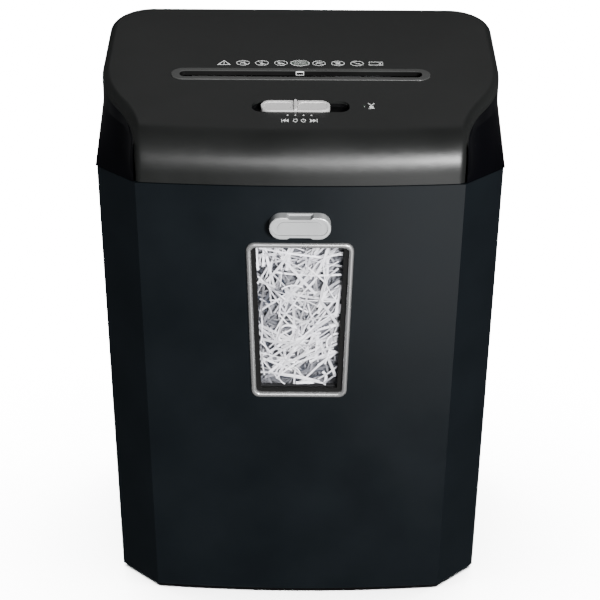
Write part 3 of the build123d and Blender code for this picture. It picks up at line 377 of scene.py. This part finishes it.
class Strips:
    """Ribbons of cut paper gathered into one piece, each with its own tone, low tones being painted shade."""

    def __init__(self):
        self.verts, self.faces, self.tones_and_shades = [], [], []

    def add(self, path, width, ups, tone_and_shade):
        """A ribbon along a path, with its width turned as the ups say."""
        start = len(self.verts)
        for i, point in enumerate(path):
            ahead = path[min(i + 1, len(path) - 1)] - path[max(i - 1, 0)]
            across = ahead.cross(ups[i]).normalized() * width / 2
            self.verts.extend((point - across, point + across))
            self.tones_and_shades.extend((tone_and_shade, tone_and_shade))
            if i:
                self.faces.append((start + 2 * i - 2, start + 2 * i - 1, start + 2 * i + 1, start + 2 * i))

    def finish(self, name):
        piece = add_mesh(name, self.verts, self.faces, "paper_white", "bin", smooth=True, tones_and_shades=self.tones_and_shades)
        solid = piece.modifiers.new("thickness", "SOLIDIFY")
        solid.thickness = PAPER_THICK
        split_edges(piece, 50)


def window_steps(across, up, angle, curl, count, depth, width):
    """A strip's steps behind the window, from its first place in the opening until it leaves it.

    Strips in front of the bucket's wall stay in the opening. The others go on behind its edges.
    """
    spare, inside = (0.0 if depth < BUCKET_INSIDE else BEHIND), False
    low, high = CLEAR_FOOT - spare + width / 2, CLEAR_TOP + spare - width / 2
    for i in range(count):
        if abs(across) > window_half(up) + spare - width * 0.4 or not low < up < high:
            if inside:
                return
            across, up, angle = across * 0.96, up * 0.98, angle + 0.02
            continue
        inside = True
        yield i, across, up, angle
        across += STRIP_STEP * math.cos(angle)
        up += STRIP_STEP * math.sin(angle)
        angle += curl * STRIP_STEP


def window_strips():
    """The strips pressed against the window, painted darker the deeper they lie, as shade."""
    strips = Strips()
    for count, near, far, dark, light in WINDOW_LAYERS:
        for _ in range(count):
            depth = rng.uniform(near, far)
            angle = rng.gauss(0.95, 0.5) if rng.random() < 0.5 else rng.uniform(0, math.pi)
            across, up = rng.uniform(-0.043, 0.043), rng.uniform(-0.078, 0.078)
            width = rng.choice(STRIP_WIDTHS)
            curl = rng.gauss(0, 6) if rng.random() < 0.85 else rng.gauss(0, 60)
            wave, phase, roll = rng.uniform(0.0001, 0.0007), rng.uniform(0, 6), rng.gauss(0, 0.35)
            # A strip's tone within its layer's range: painted shade on the deeper layers.
            tone_and_shade = rng.uniform(dark, light) ** 0.8
            path, ups = [], []
            for i, x, z, turn in window_steps(across, up, angle, curl, rng.randint(6, 22), depth, width):
                lift = wave * math.sin(phase + i * 0.8)
                path.append(in_window(x, z, max(LENS_INSIDE, depth + lift)))
                tilt = 0.4 * math.sin(phase + i * 0.3) + roll
                lean = math.sin(tilt)
                ups.append(Vector((lean * math.sin(turn), -math.cos(tilt), lean * math.cos(turn))))
            if len(path) > 3:
                strips.add(path, width, ups, tone_and_shade)
    strips.finish("window_shreds")


def heap_height(x, y):
    """The heap of strips is highest under the cutters and uneven everywhere."""
    hill = 0.010 * math.exp(-((x / 0.12) ** 2) - (y / 0.08) ** 2)
    return HEAP_Z - 0.008 + hill + 0.006 * noise.noise(Vector((x * 22, y * 22, 1.0)))


def heap_inside(x, y, spare):
    """True where a point is inside the bucket, clear of its chamfered front corners."""
    clear = abs(x) - y < HEAP_CHAMFER - spare * 1.5
    return abs(x) < HEAP_HALF - spare and HEAP_FRONT + spare < y < HEAP_BACK - spare and clear


def heap_base():
    """The heap's top and sides under the loose strips."""
    verts, faces, index = [], [], {}
    for i in range(HEAP_COLUMNS):
        for j in range(HEAP_ROWS):
            x = -HEAP_HALF + 2 * HEAP_HALF * i / (HEAP_COLUMNS - 1)
            y = HEAP_FRONT + (HEAP_BACK - HEAP_FRONT) * j / (HEAP_ROWS - 1)
            past = abs(x) - y - HEAP_CHAMFER
            if past > 0:
                x, y = math.copysign(abs(x) - past / 2, x), y + past / 2
            index[i, j] = len(verts)
            verts.append((x, y, heap_height(x, y)))
    for i in range(HEAP_COLUMNS - 1):
        for j in range(HEAP_ROWS - 1):
            faces.append((index[i, j], index[i + 1, j], index[i + 1, j + 1], index[i, j + 1]))
    right, back = HEAP_COLUMNS - 1, HEAP_ROWS - 1
    ring = [index[i, 0] for i in range(HEAP_COLUMNS)] + [index[right, j] for j in range(1, HEAP_ROWS)]
    ring += [index[i, back] for i in range(right - 1, -1, -1)] + [index[0, j] for j in range(back - 1, 0, -1)]
    top, around = len(verts), len(ring)
    for n in ring:
        x, y, _ = verts[n]
        verts.append((x * 0.975, y * 0.96 + 0.002, HEAP_LOW_Z))
    for k in range(around):
        after = (k + 1) % around
        faces.append((ring[k], top + k, top + after, ring[after]))
    # Painted shade on the heap: a grey top and near-black sides.
    tones_and_shades = [HEAP_SHADE_TONE] * top + [HEAP_SIDE_SHADE_TONE] * around
    base = add_mesh("shred_heap", verts, faces, "paper_white", "bin", smooth=True, tones_and_shades=tones_and_shades)
    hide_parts("shredded_paper")


def loose_strips():
    """The strips that lie curled on the heap."""
    strips = Strips()
    for _ in range(1500):
        x, y = rng.uniform(-0.165, 0.165), rng.uniform(-0.108, 0.108)
        angle, curl = rng.uniform(0, 2 * math.pi), rng.gauss(0, 14)
        width, rise, phase = rng.choice(LOOSE_WIDTHS), rng.uniform(0.001, 0.011), rng.uniform(0, 6)
        path, ups = [], []
        for i in range(rng.randint(6, 16)):
            if not heap_inside(x, y, 0.004):
                break
            lift = 0.0015 + rise * (0.5 + 0.5 * math.sin(phase + i * 0.5))
            path.append(Vector((x, y, heap_height(x, y) + lift)))
            tilt = 0.9 * math.sin(phase + i * 0.35)
            lean = math.sin(tilt)
            ups.append(Vector((-lean * math.sin(angle), lean * math.cos(angle), math.cos(tilt))))
            x, y = x + LOOSE_STEP * math.cos(angle), y + LOOSE_STEP * math.sin(angle)
            angle += curl * LOOSE_STEP
        if len(path) > 2:
            strips.add(path, width, ups, rng.uniform(0.75, 1.0))
    strips.finish("loose_shreds")


window_strips()
heap_base()
loose_strips()

# ---------------------------------------------------------------- printed symbols on the cover
INK_LOW, INK_HIGH = 0.02 * MM, 0.10 * MM  # the ink's faces above the surface it is on
COVER_NORMAL = Vector((0.0, -math.sin(TILT), math.cos(TILT)))
SLOT_WALL_Y = (-7.0 + 6.2 * math.cos(TILT)) * MM  # the slot's rear wall at the cover
# Places in mm, in plan
SIGN_ROW_Y, SIGN_PITCH, SIGN_MIDDLE_X = 15.5, 18.2, -0.8
DOT_XS, DOT_Y, MARK_ROW_Y = (-12.1, -4.8, 2.5, 9.8), -83.6, -93.2
INDICATOR_MARK_AT = (65.0, -65.6)


def cover_point(x, y, lift):
    """A point above the cover's slope, from X and from Y in plan."""
    return Vector((x, y, cover_height(y))) + COVER_NORMAL * lift


def slot_wall_point(x, y, lift):
    """A point in front of the slot's rear wall: y runs up the wall from the cover's plane."""
    foot = cover_point(x, SLOT_WALL_Y, 0.0) + COVER_NORMAL * y
    return foot - Vector((0.0, math.cos(TILT), math.sin(TILT))) * lift


class Print:
    """Ink shapes gathered into one mesh. Sizes are in mm, with X across and Y up the slope."""

    def __init__(self, place=cover_point, lean=math.cos(TILT)):
        self.verts, self.faces = [], []
        self.place, self.lean = place, lean

    def shape(self, at, points):
        """A closed flat solid from an outline round a centre."""
        count, start = len(points), len(self.verts)
        plan = [((at[0] + x) * MM, (at[1] + y * self.lean) * MM) for x, y in points]
        for lift in (INK_LOW, INK_HIGH):
            self.verts += [self.place(x, y, lift) for x, y in plan]
        low = list(range(start, start + count))
        high = [n + count for n in low]
        self.faces += [tuple(reversed(low)), tuple(high)]
        for i in range(count):
            j = (i + 1) % count
            self.faces.append((low[i], low[j], high[j], high[i]))

    def loop(self, at, outer, inner):
        """A frame between two outlines with the same number of corners."""
        for i in range(len(outer)):
            j = (i + 1) % len(outer)
            self.shape(at, [outer[i], outer[j], inner[j], inner[i]])

    def bar(self, at, start, end, width):
        """A straight stroke."""
        side = Vector((start[1] - end[1], end[0] - start[0])).normalized() * width / 2
        a, b = Vector(start), Vector(end)
        self.shape(at, [tuple(a - side), tuple(b - side), tuple(b + side), tuple(a + side)])

    def ring(self, at, across, up, width, start=0.0, end=360.0, steps=40):
        """An ellipse's outline, or the part of it between two angles in degrees."""
        turns = [math.radians(start + (end - start) * i / steps) for i in range(steps + 1)]
        inner, outer = (across - width, up - width), (across, up)
        for a, b in zip(turns, turns[1:]):
            ends = ((outer, a), (outer, b), (inner, b), (inner, a))
            self.shape(at, [(r[0] * math.cos(t), r[1] * math.sin(t)) for r, t in ends])

    def disc(self, at, across, up, steps=32):
        turns = [2 * math.pi * i / steps for i in range(steps)]
        self.shape(at, [(across * math.cos(t), up * math.sin(t)) for t in turns])

    def finish(self, name, slot):
        piece = add_mesh(name, self.verts, self.faces, slot, "cabinet_and_head")
        shell = bmesh.new()
        shell.from_mesh(piece.data)
        bmesh.ops.recalc_face_normals(shell, faces=shell.faces)
        shell.to_mesh(piece.data)
        shell.free()


def barred_sign(ink, at, strokes):
    """A struck-through ring round a few plain strokes."""
    ink.ring(at, 6.4, 4.9, 0.6)
    ink.bar(at, (-4.4, 3.2), (4.4, -3.2), 0.5)
    for start, end in strokes:
        ink.bar(at, start, end, 0.8)


def warning_sign(ink, at):
    ink.loop(at, [(-6.4, -4.2), (6.4, -4.2), (0, 5.0)], [(-4.9, -3.5), (4.9, -3.5), (0, 3.7)])
    ink.bar(at, (0, -0.9), (0, 2.0), 0.8)
    ink.disc((at[0], at[1] - 2.2), 0.55, 0.55)


def card_sign(ink, at):
    outer = [(-6.8, -3.4), (6.8, -3.4), (6.8, 3.4), (-6.8, 3.4)]
    ink.loop(at, outer, [(x * 0.92, y * 0.83) for x, y in outer])
    ink.bar(at, (2.8, -1.9), (5.0, 1.9), 0.6)
    ink.bar(at, (2.8, 1.9), (5.0, -1.9), 0.6)


def slot_signs(ink):
    """The row behind the slot: a warning, struck-through rings round the badge, and a card."""
    strokes = (
        (((-2.6, -1.8), (-0.4, 2.2)), ((0.8, 2.2), (2.6, -1.8)), ((-1.4, 0.2), (1.6, 0.2))),
        (((0, 2.6), (0, -2.6)), ((-1.8, -1.2), (0, -2.6)), ((1.8, -1.2), (0, -2.6))),
        (((-3.0, 0.9), (3.0, -0.9)), ((-3.0, -1.1), (2.8, -1.9))),
        None,
        (((-3.0, -1.4), (0.4, 1.6)), ((0.2, 1.4), (3.2, 1.0))),
        (((-2.6, 1.4), (2.6, 1.4)), ((-1.6, 0.0), (1.8, 0.0)), ((-2.4, -1.5), (2.2, -1.5))),
        (((-2.8, 1.7), (-0.2, -0.4)), ((-0.2, -0.4), (3.0, -0.4))),
    )
    half = (len(strokes) + 1) / 2
    warning_sign(ink, (SIGN_MIDDLE_X - half * SIGN_PITCH, SIGN_ROW_Y))
    card_sign(ink, (SIGN_MIDDLE_X + half * SIGN_PITCH, SIGN_ROW_Y))
    for n, lines in enumerate(strokes):
        if lines:
            barred_sign(ink, (SIGN_MIDDLE_X + (n + 1 - half) * SIGN_PITCH, SIGN_ROW_Y), lines)


def selector_marks(ink):
    """A dot for each of the slider's places, and under them arrows, a ring and a broken ring."""
    for x in DOT_XS:
        ink.disc((x, DOT_Y), 0.75, 1.0, 16)
    for side, x in ((-1, DOT_XS[0] - 1.6), (1, DOT_XS[-1] + 1.6)):
        for shift in (-1.5, 1.3):
            arrow = [(side * 1.5, 0), (-side * 1.5, side * 2.9), (-side * 1.5, -side * 2.9)]
            ink.shape((x + shift, MARK_ROW_Y), arrow)
        ink.bar((x + side * 3.5, MARK_ROW_Y), (0, -2.9), (0, 2.9), 0.7)
    ink.ring((DOT_XS[1], MARK_ROW_Y), 2.1, 3.0, 0.6)
    ink.ring((DOT_XS[2], MARK_ROW_Y), 2.1, 3.0, 0.6, 112.0, 428.0)
    ink.bar((DOT_XS[2], MARK_ROW_Y), (0, 0.9), (0, 3.5), 0.6)


def indicator_mark(ink, at):
    """A small figure of a drop under a chevron, beside the indicator."""
    ink.shape(at, [(-3.2, 4.4), (0, 0.2), (3.2, 4.4), (2.2, 4.4), (0, 1.6), (-2.2, 4.4)])
    ink.disc((at[0], at[1] - 2.4), 2.0, 2.8)
    ink.bar(at, (-2.6, -5.0), (2.6, -5.0), 0.8)


def badge_sign():
    """A filled badge in the middle of the row, with a light rim and three wavy bars."""
    badge, lines = Print(), Print()
    at = (SIGN_MIDDLE_X, SIGN_ROW_Y)
    badge.disc(at, 8.4, 5.2, 48)
    badge.finish("cover_badge", "symbol_badge")
    lines.ring(at, 9.2, 5.9, 0.8, steps=56)
    for up, half in ((2.0, 5.2), (0.0, 6.4), (-2.0, 5.2)):
        wave = [(half * k / 4, up + (0.5 if k % 2 else -0.3)) for k in range(-4, 5)]
        for start, end in zip(wave, wave[1:]):
            lines.bar(at, start, end, 0.8)
    lines.finish("cover_badge_rim", "symbol_ink")


def slot_sign():
    """A small frame, thicker along its top, on the slot's rear wall."""
    sign = Print(slot_wall_point, 1.0)
    outer = [(-3.8, -2.2), (3.8, -2.2), (3.8, 2.0), (-3.8, 2.0)]
    sign.loop((SIGN_MIDDLE_X, -2.0), outer, [(-3.3, -1.8), (3.3, -1.8), (3.3, 0.8), (-3.3, 0.8)])
    sign.finish("slot_sign", "symbol_ink")


def draw_symbols():
    ink = Print()
    slot_signs(ink)
    selector_marks(ink)
    indicator_mark(ink, INDICATOR_MARK_AT)
    ink.finish("cover_symbols", "symbol_ink")
    badge_sign()
    slot_sign()


draw_symbols()

# ---------------------------------------------------------------- floor and light
FLOOR_CORNERS = [(-12, -8, 0), (12, -8, 0), (12, 16, 0), (-12, 16, 0)]
SIDE_AIM, SIDE_SIZE = (0, 0.1, 0.35), (1.6, 0.8)
# Soft lights: name, place, aim, size, power, what it lights, and whether it shows in reflections
LIGHTS = (
    ("floor_light", (0, 1.5, 5.0), (0, 1.2, 0), (9, 7), 9000, "floor_only", True),
    ("back_soft", (0.2, 2.6, 3.1), (0, 0, 0.5), (3.0, 1.6), 7, "object_only", True),
    ("left_card", (-2.4, 1.3, 0.60), SIDE_AIM, SIDE_SIZE, 110, "object_only", False),
    ("right_card", (2.4, 1.5, 0.60), SIDE_AIM, SIDE_SIZE, 80, "object_only", False),
    ("rear_card", (0.8, 3.0, 0.60), SIDE_AIM, SIDE_SIZE, 130, "object_only", False),
    ("front_soft", (0.9, -3.2, 1.75), (0, -0.1, 0.48), (3.0, 0.8), 90, "object_only", True),
    ("window_soft", (0.75, -2.0, 1.15), (0, -0.13, 0.32), (0.35, 0.35), 105, "object_only", True),
    ("paper_soft", (0.5, -2.0, 1.6), (0, -0.13, 0.32), (0.4, 0.4), 70, "paper_only", True),
    ("low_card", (0.42, -1.15, 0.02), (0.16, -0.13, 0.40), (0.55, 0.7), 3.6, "object_only", True),
)


def area_light(name, at, aim, size, power, onto, glossy):
    """A soft light on one collection alone."""
    data = bpy.data.lights.new(name, "AREA")
    data.shape = "RECTANGLE"
    data.size, data.size_y = size
    data.energy = power
    light = bpy.data.objects.new(name, data)
    turn = (Vector(aim) - Vector(at)).to_track_quat("-Z", "Y").to_matrix().to_4x4()
    light.matrix_world = Matrix.Translation(at) @ turn
    bpy.context.scene.collection.objects.link(light)
    light.visible_camera = False
    light.visible_glossy = glossy
    light.light_linking.receiver_collection = onto
    light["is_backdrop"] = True


def make_group(name, members):
    """A collection of what some of the lights reach."""
    group = bpy.data.collections.new(name)
    for member in members:
        group.objects.link(member)
    return group


def make_floor():
    """A plain pale floor that the machine neither mirrors nor is lit by, so that its black stays deep."""
    mesh = bpy.data.meshes.new("floor")
    mesh.from_pydata(FLOOR_CORNERS, [], [(0, 1, 2, 3)])
    floor = bpy.data.objects.new("floor", mesh)
    bpy.context.scene.collection.objects.link(floor)
    floor.visible_glossy = False
    floor.visible_diffuse = False
    floor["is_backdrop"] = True
    material, tree, shader = new_material("floor")
    grain = add_range(tree, add_noise(tree, 3.0), 0, 1)
    color = add_mix(tree, grain, (0.87, 0.87, 0.87), (0.89, 0.89, 0.89))
    tree.links.new(color, shader.inputs["Base Color"])
    shader.inputs["Roughness"].default_value = 0.95
    shader.inputs["Specular IOR Level"].default_value = 0.0
    mesh.materials.append(material)
    return floor


def make_world():
    """A faint even light."""
    world = bpy.data.worlds.new("world")
    world.use_nodes = True
    background = world.node_tree.nodes["Background"]
    background.inputs["Color"].default_value = (0.95, 0.97, 1.0, 1)
    background.inputs["Strength"].default_value = 0.05
    bpy.context.scene.world = world


def make_stage():
    floor, pieces = make_floor(), list(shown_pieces())
    paper = [piece for piece in pieces if "shred" in piece.name]
    groups = {}
    for name, members in (("floor_only", [floor]), ("object_only", pieces), ("paper_only", paper)):
        groups[name] = make_group(name, members)
    make_world()
    for name, at, aim, size, power, onto, glossy in LIGHTS:
        area_light(name, at, aim, size, power, groups[onto], glossy)


make_stage()

# ---------------------------------------------------------------- update
bpy.context.view_layer.update()
